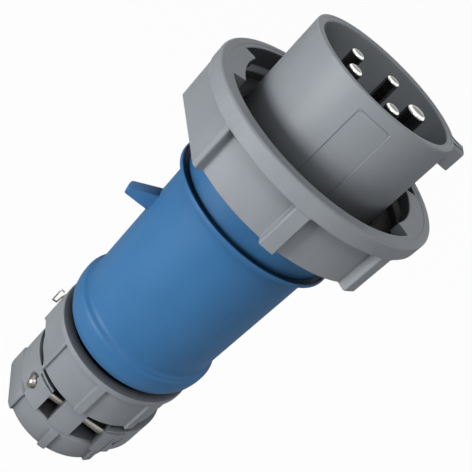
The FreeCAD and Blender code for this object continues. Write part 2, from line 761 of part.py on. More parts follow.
def make_jaw(name, face, turn, way):
    """One clamp jaw; both are alike and stand turned half round to each other."""
    body = new_body(name)
    span = d.jaw_nose_width / 2
    x_face = -d.jaw_face
    reach = jaw_radius - d.jaw_corner_step
    bite = d.bite_width / 2
    profile = outline(body, name + "Profile", [
        (x_face, -reach), (-jaw_radius, 0, ARC), (x_face, reach), (x_face, span), (-d.jaw_nose, span),
        (-d.jaw_nose, bite), (-d.bite_radius, 0, ARC), (-d.jaw_nose, -bite), (-d.jaw_nose, -span),
        (x_face, -span)], "XY_Plane", rise=d.end_length + 0.1)
    extrude(body, profile, d.jaw_thickness)
    for side, mark in (("A", -1), ("B", 1)):
        deep = (ear_radius - d.ear_depth) * mark
        middle = d.jaw_face + d.ear_length / 2
        end = d.jaw_face + d.ear_length
        ear = outline(body, name + "Ear" + side, [
            (x_face, deep), (x_face, half_chord(ear_radius, d.jaw_face) * mark),
            (-middle, half_chord(ear_radius, middle) * mark, ARC),
            (-end, half_chord(ear_radius, end) * mark), (-end, deep)],
            "XY_Plane", rise=d.end_length + 0.2)
        extrude(body, ear, d.ear_thickness)
        hole = circle(body, name + "Way" + side, clamp_screw_offset * mark, screw_height,
                      d.clamp_screw_radius + 0.15, "YZ_Plane")
        extrude(body, hole, cut=True, both=True)
    head_floor = d.jaw_face + d.clamp_head_seat
    head = circle(body, name + "HeadSeat", -clamp_screw_offset, screw_height,
                  d.clamp_head_radius + 0.3, "YZ_Plane", rise=-head_floor)
    extrude(body, head, cut=True)
    nut_half = d.clamp_nut_flat + 0.15
    seat_near = x_face - d.clamp_nut_seat
    seat_far = seat_near - d.clamp_nut_length - 0.2
    nut_seat = outline(body, name + "NutSeat", [
        (seat_near, clamp_screw_offset - nut_half), (seat_near, clamp_screw_offset + nut_half),
        (seat_far, clamp_screw_offset + nut_half), (seat_far, clamp_screw_offset - nut_half)],
        "XY_Plane", rise=d.end_length)
    extrude(body, nut_seat, screw_height + nut_half - d.end_length, cut=True, back=True)
    body.Placement = FreeCAD.Placement(Vector(), FreeCAD.Rotation(UP, turn))
    bind(body, "Placement.Base.x", (d.jaw_face - face) * way)
    return body


def make_clamp_screw(name, side, face, turn):
    """Clamp screw along X: its head bears on one jaw, its end stands through the nut of the other."""
    body = new_body(name)
    length = d.jaw_face + d.jaw_face_right + d.clamp_head_seat + d.clamp_screw_tail
    turned = outline(body, name + "Profile", [
        (0, 0), (d.clamp_screw_radius, 0), (d.clamp_screw_radius, length - 0.6),
        (d.clamp_screw_radius - 0.6, length), (0, length)])
    revolve(body, turned)
    head = outline(body, name + "Head", [
        (0, -d.clamp_head_length), (d.clamp_head_radius - 0.7, -d.clamp_head_length),
        (d.clamp_head_radius, -d.clamp_head_length + 0.9), (d.clamp_head_radius, -0.05), (0, -0.05)])
    joined = outline(body, name + "Neck", [
        (0, -0.5), (d.clamp_screw_radius, -0.5), (d.clamp_screw_radius, 0.5), (0, 0.5)])
    revolve(body, joined)
    revolve(body, head)
    for index, angle in enumerate((0, 90)):
        slot = outline(body, "%sCross%d" % (name, index), [
            (-1.9, -0.4), (1.9, -0.4), (1.9, 0.4), (-1.9, 0.4)], "XY_Plane",
            turn=angle, rise=-d.clamp_head_length)
        extrude(body, slot, 1.3, cut=True, back=True)
    tilt = FreeCAD.Rotation(Vector(0, 1, 0), 90 if side < 0 else -90)
    body.Placement = FreeCAD.Placement(Vector(), tilt)
    bind(body, "Placement.Base.x", (face + d.clamp_head_seat - 0.05) * side)
    bind(body, "Placement.Base.y", clamp_screw_offset * side)
    bind(body, "Placement.Base.z", screw_height)
    return body


def make_clamp_nut(name, side, face):
    """Square nut, held in its seat in the jaw that the screw draws."""
    body = new_body(name)
    half = d.clamp_nut_flat
    plate = outline(body, name + "Profile", [(-half, -half), (half, -half), (half, half), (-half, half)],
                    "XY_Plane")
    extrude(body, plate, d.clamp_nut_length)
    bore = circle(body, name + "Bore", 0, 0, d.clamp_screw_radius + 0.05)
    extrude(body, bore, cut=True, both=True)
    tilt = FreeCAD.Rotation(Vector(0, 1, 0), 90)
    body.Placement = FreeCAD.Placement(Vector(), tilt)
    start = face + d.clamp_nut_seat + 0.1
    shift = d.clamp_nut_length if side < 0 else as_size(0)
    bind(body, "Placement.Base.x", (start + shift) * side)
    bind(body, "Placement.Base.y", -clamp_screw_offset * side)
    bind(body, "Placement.Base.z", screw_height)
    return body


def make_wire_clip():
    """Spring wire round the far side of the nut: a standing loop at one end, a short hook at the other."""
    item = doc.addObject("Part::Feature", "wire_clip")
    item.Label = "wire_clip"
    wire = d.clip_wire_radius.value
    lie = nut_radius.value + wire + d.clip_clearance.value
    stand = lie + d.clip_stand_off.value
    low = d.clip_height.value
    high = low + d.clip_loop_length.value

    def at(radius, degrees, height):
        angle = math.radians(degrees)
        return Vector(radius * math.cos(angle), radius * math.sin(angle), height)

    left, right, top = 174.0, 14.0, 94.0
    arc = Part.Arc(at(lie, left, low), at(lie, top, low), at(lie, right, low)).toShape()
    along = Vector(-math.sin(math.radians(right)), math.cos(math.radians(right)), 0)
    section = Part.Wire([Part.Circle(at(lie, right, low), along, wire).toShape()])
    shape = Part.Wire([arc]).makePipeShell([section], True, False)
    loop = [at(lie, left, low), at(stand, left, low), at(stand, left, high), at(lie, left, high)]
    hook = [at(lie, right, low), at(lie, right, low - 3.0)]
    for corners in (loop, hook):
        for begin, finish in zip(corners, corners[1:]):
            span = finish - begin
            shape = shape.fuse(Part.makeCylinder(wire, span.Length, begin, span))
        for corner in corners:
            shape = shape.fuse(Part.makeSphere(wire, corner))
    item.Shape = shape.removeSplitter()
    item.Placement = FreeCAD.Placement()
    return item


nodes = [make_sleeve_housing(), make_contact_carrier()]
nodes.append(make_pin("earth_pin", 0, d.earth_pin_radius, d.earth_tip_depth))
for number, name in enumerate(("line_pin_1", "line_pin_2", "line_pin_3", "neutral_pin"), start=1):
    nodes.append(make_pin(name, number, d.pin_radius, d.pin_tip_depth))
nodes += [make_terminal_screws(), make_locking_ring(), make_face_seal(), make_housing_seal()]
nodes += [make_grip_body(), make_gland_nut(), make_thrust_ring(), make_seal_cage(), make_gland_seal()]
nodes.append(make_jaw("clamp_jaw_left", d.jaw_face, 0, 1))
nodes.append(make_jaw("clamp_jaw_right", d.jaw_face_right, 180, -1))
nodes.append(make_clamp_screw("clamp_screw_near", -1, d.jaw_face, 0))
nodes.append(make_clamp_screw("clamp_screw_far", 1, d.jaw_face_right, 180))
nodes.append(make_clamp_nut("clamp_nut_near", 1, d.jaw_face_right))
nodes.append(make_clamp_nut("clamp_nut_far", -1, d.jaw_face))
nodes.append(make_wire_clip())
doc.recompute()

for item in doc.Objects:
    if "Invalid" in item.State or "Error" in item.State:
        raise RuntimeError("%s failed: %s" % (item.Name, item.State))
for node in nodes:
    if node.Shape.isNull() or not node.Shape.isValid():
        raise RuntimeError("%s has no valid shape" % node.Label)

os.makedirs("parts", exist_ok=True)
for node in nodes:
    node.Shape.exportStep(os.path.join("parts", node.Label + ".step"))
    box = node.Shape.BoundBox
    print("%-18s %8.0f mm3  z %6.1f to %6.1f  r %5.1f" % (
        node.Label, node.Shape.Volume, box.ZMin, box.ZMax, max(box.XMax, box.YMax)))
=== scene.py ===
import bpy
import bmesh
import math
from mathutils import Matrix, Vector


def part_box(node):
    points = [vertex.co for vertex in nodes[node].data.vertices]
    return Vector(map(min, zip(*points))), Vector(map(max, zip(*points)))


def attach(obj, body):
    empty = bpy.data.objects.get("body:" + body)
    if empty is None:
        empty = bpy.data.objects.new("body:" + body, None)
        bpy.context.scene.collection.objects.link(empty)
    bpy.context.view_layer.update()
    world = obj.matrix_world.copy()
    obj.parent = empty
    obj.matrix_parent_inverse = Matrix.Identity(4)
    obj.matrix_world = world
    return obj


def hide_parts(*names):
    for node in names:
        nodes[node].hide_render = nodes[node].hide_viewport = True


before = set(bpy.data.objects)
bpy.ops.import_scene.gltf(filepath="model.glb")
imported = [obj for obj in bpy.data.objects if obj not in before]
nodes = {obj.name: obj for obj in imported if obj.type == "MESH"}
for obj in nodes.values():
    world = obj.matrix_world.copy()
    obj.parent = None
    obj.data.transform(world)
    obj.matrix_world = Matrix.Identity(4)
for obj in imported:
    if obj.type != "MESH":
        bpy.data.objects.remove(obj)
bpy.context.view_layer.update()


# Shader writing

class Link:
    """A socket's output that takes part in sums and products."""

    def __init__(self, shop, socket):
        self.shop = shop
        self.socket = socket

    def __add__(self, other):
        return self.shop.maths("ADD", self, other)

    def __sub__(self, other):
        return self.shop.maths("SUBTRACT", self, other)

    def __rsub__(self, other):
        return self.shop.maths("SUBTRACT", other, self)

    def __mul__(self, other):
        return self.shop.maths("MULTIPLY", self, other)

    def __gt__(self, other):
        return self.shop.maths("GREATER_THAN", self, other)

    def __lt__(self, other):
        return self.shop.maths("LESS_THAN", self, other)

    __radd__ = __add__
    __rmul__ = __mul__


class Shop:
    """A node tree, emptied, with one method that makes any of its nodes."""

    def __init__(self, tree):
        self.tree = tree
        self.tree.nodes.clear()

    def make(self, kind, settings=None, **values):
        """Settings are set first. A value is a number, a colour or a link, and _0 means the first socket."""
        node = self.tree.nodes.new(kind)
        for name, value in (settings or {}).items():
            setattr(node, name, value)
        for name, value in values.items():
            key = int(name[1:]) if name[0] == "_" else name.replace("_", " ")
            if isinstance(value, Link):
                self.tree.links.new(value.socket, node.inputs[key])
            else:
                node.inputs[key].default_value = value
        return lambda output=0: Link(self, node.outputs[output])

    def maths(self, operation, first, second=0.0):
        return self.make("ShaderNodeMath", {"operation": operation}, _0=first, _1=second)()


class Finish(Shop):
    """One material, with the textures that its surfaces share."""

    def __init__(self, name):
        self.material = bpy.data.materials.new(name)
        self.material.use_nodes = True
        super().__init__(self.material.node_tree)
        self.place = self.make("ShaderNodeTexCoord")("Object")

    def noise(self, scale, detail=3.0, roughness=0.5, stretch=None):
        place = self.place
        if stretch:
            place = self.make("ShaderNodeMapping", Vector=place, Scale=stretch)()
        return self.make("ShaderNodeTexNoise", Vector=place, Scale=scale, Detail=detail,
                         Roughness=roughness)()

    def span(self, value, low, high):
        """Brings a value from one range to 0 and 1."""
        return self.make("ShaderNodeMapRange", {"interpolation_type": "SMOOTHSTEP"}, Value=value,
                         From_Min=low, From_Max=high)()

    def blend(self, factor, first, second):
        return self.make("ShaderNodeMix", {"data_type": "RGBA"}, Factor=factor, _6=first, _7=second)(2)

    def cavity_shade(self, reach):
        """1 on open faces, less in narrow gaps and deep corners: the mask for painted shade there."""
        return self.make("ShaderNodeAmbientOcclusion", {"samples": 8}, Distance=reach)(1)

    def round_edges(self, radius):
        return self.make("ShaderNodeBevel", {"samples": 6}, Radius=radius)()

    def bump(self, height, strength, distance, over=None):
        values = {"Normal": over} if over else {}
        return self.make("ShaderNodeBump", Strength=strength, Distance=distance, Height=height, **values)()

    def show(self, surface):
        self.make("ShaderNodeOutputMaterial", Surface=surface)
        return self.material

    def close(self, **values):
        return self.show(self.make("ShaderNodeBsdfPrincipled", **values)())


def shade(colour, share):
    """The same colour, darker, for painted shade."""
    return tuple(part * share for part in colour[:3]) + (1,)


# Finishes

FIELD_TURN = 269.25
FIELD_HALF_ANGLE = 11.75
GREYS = ((0.235, 0.252, 0.272, 1), (0.262, 0.28, 0.302, 1))
BLUES = ((0.034, 0.140, 0.315, 1), (0.042, 0.158, 0.345, 1))


def moulded_plastic(name, colours, edge=0.0003, field=False):
    """Satin moulding: clouded colour, fine spark-eroded grain, faint flow marks, rounded edges, and painted
    shade in narrow gaps and deep corners.
    """
    dark, light = colours
    finish = Finish(name)
    cloud = finish.noise(scale=38.0, detail=4.0)
    flow = finish.noise(scale=60.0, roughness=0.6, stretch=(1.0, 1.0, 0.18))
    grain = finish.noise(scale=2600.0, detail=2.0, roughness=0.6)
    colour = finish.blend(finish.span(cloud * 0.6 + flow * 0.4, 0.35, 0.65), dark, light)
    height = grain * 0.25 + flow * 0.5
    if field:
        # Painted shade: the field's outline is darkened as if its groove were in shadow.
        line = field_line(finish)
        colour = finish.blend(line * 0.55, colour, shade(dark, 0.45))
        height = height - line * 4.0
    # Painted shade: the colour darkens to a fifth of the dark tone in narrow gaps and deep corners.
    unshaded_share = finish.span(finish.cavity_shade(reach=0.022), 0.05, 0.8)
    colour = finish.blend(unshaded_share, shade(dark, 0.2), colour)
    relief = finish.bump(height, strength=0.25, distance=0.00004, over=finish.round_edges(edge))
    return finish.close(IOR=1.46, Specular_IOR_Level=0.25, Base_Color=colour,
                        Roughness=0.40 + cloud * 0.06 + grain * 0.05, Normal=relief)


def field_line(finish):
    """The fine outline of a bare field on the sleeve: a rectangle with rounded corners, dented by bump and
    darkened as painted shade.
    """
    front, rear, half_width, corner = 0.1827, 0.150, 0.0057, 0.0021
    line_core, line_edge = 0.00006, 0.00016
    outer_skin = 0.0265
    split = finish.make("ShaderNodeSeparateXYZ", Vector=finish.place)
    turn = math.radians(FIELD_TURN)
    across = split("X") * math.cos(turn + math.pi / 2) + split("Y") * math.sin(turn + math.pi / 2)
    outward = split("X") * math.cos(turn) + split("Y") * math.sin(turn)
    lengthwise = split("Z") - (front + rear) / 2
    past = [finish.maths("MAXIMUM", finish.maths("ABSOLUTE", place) - (half - corner), 0.0)
            for place, half in ((across, half_width), (lengthwise, (front - rear) / 2))]
    from_corner = finish.maths("SQRT", past[0] * past[0] + past[1] * past[1])
    off_line = finish.maths("ABSOLUTE", from_corner - corner)
    return (1.0 - finish.span(off_line, line_core, line_edge)) * (outward > outer_skin)


def carrier_plastic():
    finish = Finish("dark carrier plastic")
    cloud = finish.noise(scale=60.0, detail=4.0)
    grain = finish.noise(scale=2200.0, detail=2.0, roughness=0.6)
    colour = finish.blend(cloud, (0.045, 0.047, 0.05, 1), (0.06, 0.062, 0.065, 1))
    relief = finish.bump(grain, strength=0.2, distance=0.00006, over=finish.round_edges(0.0002))
    return finish.close(IOR=1.46, Specular_IOR_Level=0.2, Base_Color=colour, Roughness=0.5 + grain * 0.1,
                        Normal=relief)


def sealing_rubber():
    finish = Finish("black sealing rubber")
    cloud = finish.noise(scale=80.0, detail=4.0)
    grain = finish.noise(scale=1800.0, roughness=0.7)
    colour = finish.blend(cloud, (0.012, 0.012, 0.013, 1), (0.022, 0.022, 0.023, 1))
    return finish.close(IOR=1.45, Specular_IOR_Level=0.2, Base_Color=colour, Roughness=0.62 + grain * 0.12,
                        Normal=finish.bump(grain, strength=0.3, distance=0.0001))


def plated_nickel():
    """Nickel with fine turning rings and a dull tone that varies at random, with a painted highlight: a
    near-white band on the rounding of the tip.
    """
    finish = Finish("nickel plated pin")
    along = finish.make("ShaderNodeSeparateXYZ", Vector=finish.place)("Z")
    rings = finish.maths("SINE", along * 24000.0)
    wear = finish.span(finish.noise(scale=160.0), 0.45, 0.65)
    facing = finish.make("ShaderNodeTexCoord")("Normal")
    upward = finish.make("ShaderNodeSeparateXYZ", Vector=facing)("Z")
    # Painted highlight: near white where the tip's rounding faces partly along the plug, dull on the shaft
    # and the end.
    painted_highlight_band = finish.span(upward, 0.35, 0.55) * (1.0 - finish.span(upward, 0.80, 0.90))
    dull = finish.blend(wear, (0.24, 0.235, 0.225, 1), (0.34, 0.335, 0.32, 1))
    colour = finish.blend(painted_highlight_band, dull, (0.97, 0.96, 0.94, 1))
    return finish.close(Metallic=1.0, Base_Color=colour, Roughness=0.09 + wear * 0.07,
                        Normal=finish.bump(rings, strength=0.04, distance=0.00001))


def plated_steel():
    finish = Finish("plated screw steel")
    brushing = finish.noise(scale=700.0, roughness=0.6)
    cloud = finish.noise(scale=200.0)
    colour = finish.blend(cloud, (0.26, 0.25, 0.23, 1), (0.38, 0.36, 0.33, 1))
    relief = finish.bump(brushing, strength=0.1, distance=0.00005, over=finish.round_edges(0.0001))
    return finish.close(Metallic=1.0, Base_Color=colour, Roughness=0.26 + brushing * 0.14, Normal=relief)


grey = moulded_plastic("grey moulded plastic", GREYS)
sleeve_grey = moulded_plastic("grey sleeve plastic", GREYS, field=True)
blue = moulded_plastic("blue moulded plastic", BLUES, edge=0.0004)
dark = carrier_plastic()
rubber = sealing_rubber()
nickel = plated_nickel()
steel = plated_steel()

PINS = ["earth_pin", "line_pin_1", "line_pin_2", "line_pin_3", "neutral_pin"]
finishes = {
    grey: ["locking_ring", "gland_nut", "clamp_jaw_left", "clamp_jaw_right"],
    sleeve_grey: ["sleeve_housing"],
    blue: ["grip_body"],
    dark: ["contact_carrier", "seal_cage", "thrust_ring"],
    rubber: ["face_seal", "housing_seal", "gland_seal"],
    nickel: PINS,
    steel: ["terminal_screws", "clamp_screw_near", "clamp_screw_far", "clamp_nut_near", "clamp_nut_far",
            "wire_clip"],
}
for material, names in finishes.items():
    for name in names:
        nodes[name].data.materials.clear()
        nodes[name].data.materials.append(material)


# Moulded shapes, in millimetres and degrees

MILLIMETRE = 0.001
# A moulded step: degrees past its middle, and the share of its height there
STEP = ((-0.7, 0.0), (-0.4, 0.04), (-0.2, 0.13), (-0.08, 0.3),
        (0.08, 0.7), (0.2, 0.87), (0.4, 0.96), (0.7, 1.0))


def levels(node):
    """Where a CAD node starts and ends along the plug."""
    return [round(corner.z / MILLIMETRE, 2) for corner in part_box(node)]


def reach(node):
    """How far a CAD node stands out from the axis, on the key's side."""
    return round(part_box(node)[1].x / MILLIMETRE, 2)


def polar(radius, angle, height):
    turn = math.radians(angle)
    return radius * math.cos(turn), radius * math.sin(turn), height


def off_middle(angle, middle):
    """How far an angle lies from the middle of a field, from -180 to 180."""
    return (angle - middle + 180.0) % 360.0 - 180.0


def ramp(value):
    """A step from 0 to 1 whose corners are rounded, as a mould leaves them."""
    if value <= STEP[0][0]:
        return 0.0
    for (start, low), (end, high) in zip(STEP, STEP[1:]):
        if value < end:
            return low + (high - low) * (value - start) / (end - start)
    return 1.0


def within(angle, middle, half):
    """1 inside a field round the axis, 0 outside it."""
    return ramp(half - abs(off_middle(angle, middle)))


def columns(fields, step=3.0, closest=0.03):
    """Angles round the axis, close together at both sides of each field."""
    angles = {index * step for index in range(round(360 / step))}
    for middle, half in fields:
        for side in (-half, half):
            angles.update((middle + side + off) % 360.0 for off, _ in STEP)
    angles = sorted(angles)
    return [angle for angle, before in zip(angles, [-1.0] + angles) if angle - before > closest]


def soften(corners, steps=4, most=0.45):
    """Rounds the corners of a closed section. A corner is radius, height and rounding, and a rounding
    takes at most this share of a side."""
    points = []
    for index, (x, y, size) in enumerate(corners):
        if not size:
            points.append((x, y))
            continue
        before, after = corners[index - 1], corners[(index + 1) % len(corners)]
        cuts = []
        for other in (before, after):
            length = math.hypot(other[0] - x, other[1] - y)
            share = min(size, most * length) / length
            cuts.append((x + (other[0] - x) * share, y + (other[1] - y) * share))
        for step in range(steps + 1):
            t = step / steps
            points.append(tuple((1 - t) ** 2 * cuts[0][i] + 2 * t * (1 - t) * (x, y)[i] + t * t * cuts[1][i]
                                for i in (0, 1)))
    return points


def sides(count, length, closed=False):
    """Faces between rows of points that follow each other, the last row back to the first if closed."""
    faces = []
    for row in range(length if closed else length - 1):
        start, onward = row * count, (row + 1) % length * count
        for k in range(count):
            n = (k + 1) % count
            faces.append((start + k, onward + k, onward + n, start + n))
    return faces


def ends(count, length):
    """Faces that close the first and the last row."""
    last = count * (length - 1)
    return [tuple(range(count)), tuple(range(last, last + count))]


def swept(section, angles):
    """Rows of points round the axis, and how many are in a row. section(angle) gives the corners of a cut."""
    points = []
    for angle in angles:
        row = soften(section(angle))
        points += [polar(radius, angle, height) for radius, height in row]
    return points, len(row)


def turned(section, angles):
    """A closed skin all round the axis."""
    points, count = swept(section, angles)
    return points, sides(count, len(angles), True)


def wedge(section, start, end, steps=8):
    """Part of a turn, closed at both ends."""
    angles = [start + (end - start) * step / steps for step in range(steps + 1)]
    points, count = swept(section, angles)
    return points, sides(count, len(angles)) + ends(count, len(angles))


def plain(corners):
    """A section that is the same at every angle."""
    return lambda angle: corners


def slab(corners, low, high, edge, high_edge=None):
    """A plate from one outline, anticlockwise, between two levels, with rounded rims."""
    row = soften(corners)
    inward = []
    for k, point in enumerate(row):
        before, after = row[k - 1], row[(k + 1) % len(row)]
        size = math.hypot(after[0] - before[0], after[1] - before[1])
        inward.append(((before[1] - after[1]) / size, (after[0] - before[0]) / size))
    rims = []
    for level, size, way in ((low, edge, 1), (high, high_edge or edge, -1)):
        for degrees in (0, 30, 60, 90)[::way]:
            turn = math.radians(degrees)
            rims.append((size * (1 - math.sin(turn)), level + way * size * (1 - math.cos(turn))))
    points = [(x + dx * inset, y + dy * inset, level)
              for inset, level in rims for (x, y), (dx, dy) in zip(row, inward)]
    return points, sides(len(row), len(rims)) + ends(len(row), len(rims))


def thread(core, crest, low, high, pitch, steps):
    """A screw thread's ridge, right-handed, round the axis, that runs in and out at its ends."""
    root_half, crest_half, root_depth, run_in = 0.46, 0.08, 0.1, 8
    points = []
    total = round((high - low - pitch) / pitch * steps)
    for step in range(total + 1):
        angle = 360.0 * step / steps
        middle = low + pitch / 2 + pitch * step / steps
        top = core + (crest - core) * min(1.0, step / run_in, (total - step) / run_in)
        cut = ((core - root_depth, -root_half), (top, -crest_half), (top, crest_half),
               (core - root_depth, root_half))
        points += [polar(radius, angle, middle + off * pitch) for radius, off in cut]
    return points, sides(len(cut), total + 1) + ends(len(cut), total + 1)


def laid(part, move):
    """The same skin, moved."""
    points, faces = part
    return [move @ Vector(point) for point in points], faces


def turn_about(axis, degrees):
    return Matrix.Rotation(math.radians(degrees), 4, axis)


def stand_in(name, data, material, body, node):
    """Puts a piece in the scene, on its body, in place of one CAD node."""
    data.materials.append(material)
    item = bpy.data.objects.new(name, data)
    bpy.context.scene.collection.objects.link(item)
    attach(item, body)
    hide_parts(node)
    return item


def piece(name, parts, material, body, node, weld=1e-7):
    """One mesh from several closed skins, with its normals led by its larger faces."""
    shape = bmesh.new()
    for points, faces in parts:
        made = [shape.verts.new(Vector(point) * MILLIMETRE) for point in points]
        for face in faces:
            shape.faces.new([made[index] for index in face])
    bmesh.ops.remove_doubles(shape, verts=shape.verts, dist=weld)
    bmesh.ops.recalc_face_normals(shape, faces=shape.faces)
    mesh = bpy.data.meshes.new(name)
    shape.to_mesh(mesh)
    shape.free()
    mesh.polygons.foreach_set("use_smooth", [True] * len(mesh.polygons))
    item = stand_in(name, mesh, material, body, node)
    item.modifiers.new("weighted normals", "WEIGHTED_NORMAL")


ALL_ROUND = columns([])


# Ribs, panels and flats, which the locking ring and the gland nut share

RIB_STEP = 45.0
RIB_ANGLE = 7.5
FLAT_OVERLAP = 1.0
PANELS = [(RIB_STEP * (place + 0.5), (RIB_STEP - RIB_ANGLE) / 2) for place in (1, 2, 3, 5, 6, 7)]
FLATS = [(RIB_STEP * (place + 0.5), RIB_STEP / 2 + FLAT_OVERLAP) for place in (0, 4)]


def wall_radius(angle, rib, panel, flat):
    """The outer wall between the ribs: six curved panels and two flat fields."""
    radius = rib
    for middle, half in PANELS:
        radius += (panel - rib) * within(angle, middle, half)
    for middle, half in FLATS:
        off = off_middle(angle, middle)
        if abs(off) < half + STEP[-1][0]:
            level = min(rib, flat / math.cos(math.radians(off)))
            radius += (level - rib) * within(angle, middle, half)
    return radius


# Locking ring, with two lugs over its mouth and a slot for the stop

WIDE_LUG = (-7.0, 24.5)
NARROW_LUG = (181.5, 18.0)
STOP_SLOT = (65.0, 31.5)

ring_rear, ring_front = levels("locking_ring")
ring_radius = reach("locking_ring")
ring_rib, ring_panel, ring_flat = 44.1, 40.9, 40.4
ring_collar = ring_radius - 0.05
ring_collar_rear = ring_front - 6.0
mouth_radius, mouth_step, mouth_step_level = 39.5, 1.9, 153.0
lug_reach, lug_thickness, lug_foot_level = 4.8, 3.9, 156.2
web_rear, web_front, web_bore = 141.2, 146.0, 29.85
slot_radius, slot_depth = 31.85, 2.0
face_groove = 0.2


def ring_section(angle):
    wall = wall_radius(angle, ring_rib, ring_panel, ring_flat)
    lug = max(within(angle, *WIDE_LUG), within(angle, *NARROW_LUG))
    mouth = mouth_radius - lug_reach * lug
    slot = slot_radius + slot_depth * within(angle, *STOP_SLOT)
    outside = [(slot, ring_rear, 0.25), (wall, ring_rear, 0.6), (wall, ring_collar_rear - 0.3, 0.5)]
    collar = [(ring_collar, ring_collar_rear, 0.5), (ring_collar, ring_front - 0.6, 0.5),
              (ring_collar - 0.85, ring_front, 0.3), (mouth_radius + 1.9, ring_front, 0.2),
              (mouth_radius + 1.7, ring_front - face_groove, 0.1)]
    inside = [(mouth, ring_front, 0.5), (mouth, ring_front - lug_thickness, 0.4),
              (mouth_radius, lug_foot_level + 0.1 * lug, 0.3), (mouth_radius, mouth_step_level + 1.5, 0.4),
              (mouth_radius - mouth_step, mouth_step_level, 0.5), (mouth_radius - mouth_step, web_front, 0.6)]
    web = [(web_bore, web_front, 0.3), (web_bore, web_rear, 0.2), (slot, web_rear, 0.2)]
    return outside + collar + inside + web


ring_angles = columns(PANELS + FLATS + [WIDE_LUG, NARROW_LUG, STOP_SLOT])
piece("locking_ring_shell", [turned(ring_section, ring_angles)], grey, "ring", "locking_ring")


# Sleeve with its flange, seal groove, sunk field and key

sleeve_rear, sleeve_front = levels("sleeve_housing")
rim_radius, foot_radius = 28.3, 28.45
rim_wall, rim_step = 1.3, 0.2
bore_radius, bore_draft = 25.0, 0.4
floor_level = 145.4
skirt_radius, skirt_bore = 27.1, 24.4
groove_rear, groove_front, groove_radius = 135.35, 137.05, 25.85
flange_rear, flange_front = web_front + 0.4, 149.2
flange_radius = reach("sleeve_housing")
field_rear, field_front, field_depth, field_edge = 156.0, 182.7, 0.2, 0.1
key_length, key_root, key_reach = 8.0, 26.6, 32.9
key_root_half, key_top_half = 3.4, 3.1


def sleeve_section(angle):
    field = field_depth * within(angle, FIELD_TURN, FIELD_HALF_ANGLE)
    skirt = [(skirt_bore, sleeve_rear, 0.2), (skirt_radius, sleeve_rear, 0.9)]
    groove = [(skirt_radius, groove_rear, 0.1), (groove_radius, groove_rear, 0.1),
              (groove_radius, groove_front, 0.1), (skirt_radius, groove_front, 0.1)]
    flange = [(skirt_radius, flange_rear, 0.1), (flange_radius, flange_rear, 0.3),
              (flange_radius, flange_front, 0.4), (foot_radius, flange_front, 0.4)]
    outside = [(foot_radius - 0.02, field_rear - field_edge, 0.1),
               (foot_radius - 0.05 - field, field_rear + field_edge, 0.1),
               (rim_radius + 0.02 - field, field_front - field_edge, 0.1),
               (rim_radius + 0.02, field_front + field_edge, 0.1)]
    rim = [(rim_radius, sleeve_front, 0.6), (rim_radius - rim_wall, sleeve_front, 0.1),
           (rim_radius - rim_wall - 0.15, sleeve_front - rim_step, 0.1),
           (bore_radius + 0.75, sleeve_front - rim_step, 0.2)]
    inside = [(bore_radius + bore_draft, sleeve_front - 0.6, 0.2), (bore_radius, floor_level, 0.4),
              (skirt_bore, floor_level, 0.1)]
    return skirt + groove + flange + outside + rim + inside


key_outline = [(key_root, -key_root_half, 0.4), (key_reach, -key_top_half, 0.9),
               (key_reach, key_top_half, 0.9), (key_root, key_root_half, 0.4)]
key_nose = slab(key_outline, sleeve_front - key_length, sleeve_front, edge=0.4, high_edge=1.1)
field_angles = columns([(FIELD_TURN, FIELD_HALF_ANGLE)])
piece("keyed_sleeve", [turned(sleeve_section, field_angles), key_nose], sleeve_grey, "plug",
      "sleeve_housing")


# Grip body with its lip, bearing, tab, stop and threaded spigot

nut_rear, nut_front = levels("gland_nut")
grip_rear, grip_front = levels("grip_body")
spigot_radius, spigot_bore = 21.3, 19.0
tail_rear, tail_radius = nut_front + 3.8, 27.6
band_rear, band_rear_radius = 55.3, 29.45
band_crest, band_crest_radius = 58.8, 30.05
crease_level, crease_radius = 62.95, 30.0
waist_level, waist_radius = 64.1, 27.85
grip_front_radius = 28.8
lip_radius, lip_front, lip_thickness, lip_dish = reach("grip_body"), 126.2, 1.6, 1.2
neck_radius, neck_bore, neck_bore_rear = 29.6, 27.3, 112.0
bore_front, bore_front_radius = 110.5, 25.45
bore_rear, bore_rear_radius = 67.0, 24.85
spigot_bore_front = 60.2
bearing_radius, bearing_rear, bearing_front = 31.6, 139.2, 141.0
tab_root, tab_reach, tab_rear = 26.85, 38.3, 99.9
tab_tip_length, tab_base_length, tab_half, tab_turn = 2.4, 8.4, 3.05, 182.2
stop_start, stop_end, stop_height, stop_root = 84, 96, 2.0, 1.0
thread_pitch, thread_rise, thread_core, thread_steps = 3.0, 0.6, spigot_radius + 0.05, 60

tail = [(spigot_bore, grip_rear, 0.3), (spigot_radius, grip_rear, 0.6), (spigot_radius, tail_rear, 0.2),
        (tail_radius, tail_rear, 0.7)]
band = [(band_rear_radius, band_rear, 0.5), (band_crest_radius, band_crest, 2.4),
        (crease_radius, crease_level, 1.6), (waist_radius, waist_level, 1.9)]
lip = [(grip_front_radius, lip_front - 1.7, 3.4), (lip_radius, lip_front - lip_thickness, 0.3),
       (lip_radius, lip_front, 0.45), (lip_radius - 0.85, lip_front, 0.3),
       (lip_radius - 1.0, lip_front - lip_dish, 0.4), (neck_radius, lip_front - lip_dish, 0.3)]
bearing = [(neck_radius, bearing_rear, 0.2), (bearing_radius, bearing_rear, 0.3),
           (bearing_radius, bearing_front, 0.3), (neck_radius, bearing_front, 0.2)]
inside = [(neck_radius, grip_front, 0.4), (neck_bore, grip_front, 0.5), (neck_bore, neck_bore_rear, 0.2),
          (bore_front_radius, bore_front, 0.2), (bore_rear_radius, bore_rear, 1.0),
          (spigot_bore, spigot_bore_front, 1.0)]
grip = turned(plain(tail + band + lip + bearing + inside), ALL_ROUND)

